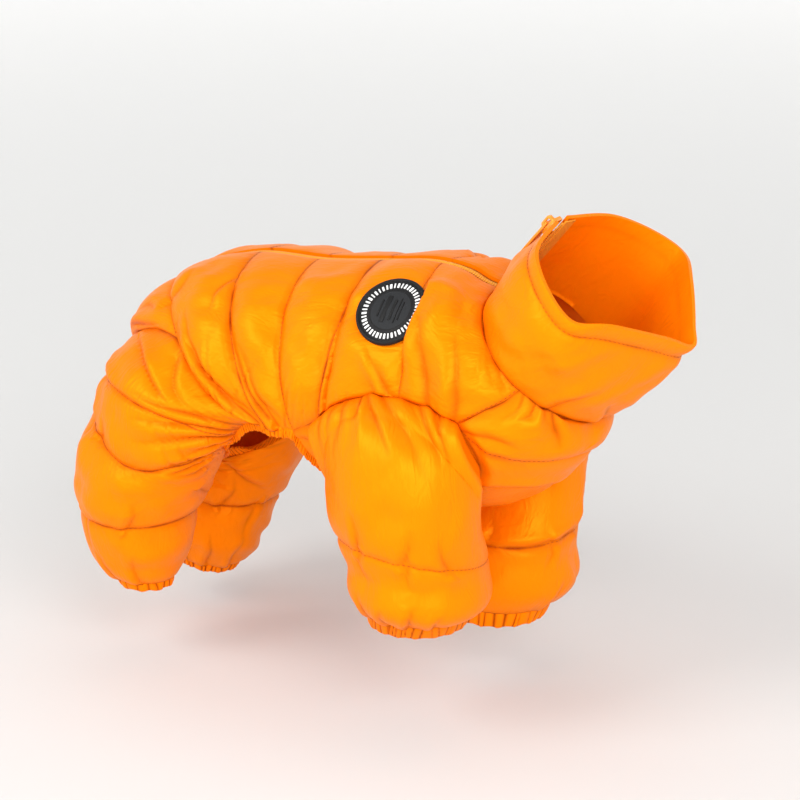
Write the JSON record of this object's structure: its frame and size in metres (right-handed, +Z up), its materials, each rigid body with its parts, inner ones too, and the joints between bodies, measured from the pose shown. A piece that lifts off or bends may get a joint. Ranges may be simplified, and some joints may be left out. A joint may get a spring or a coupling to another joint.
{
  "type": "padded dog jumpsuit",
  "caption": "Quilted orange dog jumpsuit in its worn hollow form, with a stand collar, back zip, elastic cuffs on every leg and an open belly.",
  "frame": {"origin": "where the inner face of the back lies on the wearer's withers, on the mid line", "axes": "+X to the collar and the wearer's head, +Y to the wearer's left, +Z up"},
  "size_m": [0.332, 0.173, 0.2375],
  "materials": {
    "orange_nylon": "satin woven nylon shell, lightly padded",
    "elastic_casing": "satin nylon gathered on elastic",
    "zip_tape": "matt woven polyester tape",
    "zip_coil": "semi-gloss nylon coil",
    "slider_enamel": "gloss orange enamel",
    "badge_rubber": null
  },
  "bodies": {
    "suit": {"cuff_front_right": "elastic_casing", "cuff_front_left": "elastic_casing", "cuff_hind_right": "elastic_casing", "cuff_hind_left": "elastic_casing", "opening_hem": "elastic_casing", "zip_tape_right": "zip_tape", "zip_tape_left": "zip_tape", "zip_chain": "zip_coil", "zip_slider": "slider_enamel", "back_right": "orange_nylon", "back_left": "orange_nylon", "chest_panel": "orange_nylon", "collar": "orange_nylon", "sleeve_right": "orange_nylon", "sleeve_left": "orange_nylon", "leg_right": "orange_nylon", "leg_left": "orange_nylon", "badge": "badge_rubber"},
    "zip_pull": {"zip_pull": "slider_enamel"}
  },
  "joints": [
    {"name": "pull_hinge", "type": "hinge", "parent": "suit", "child": "zip_pull", "pos_m": [0.0594, 0, 0.03096], "axis": [0, 1, 0], "range_deg": [0, 165]}
  ]
}
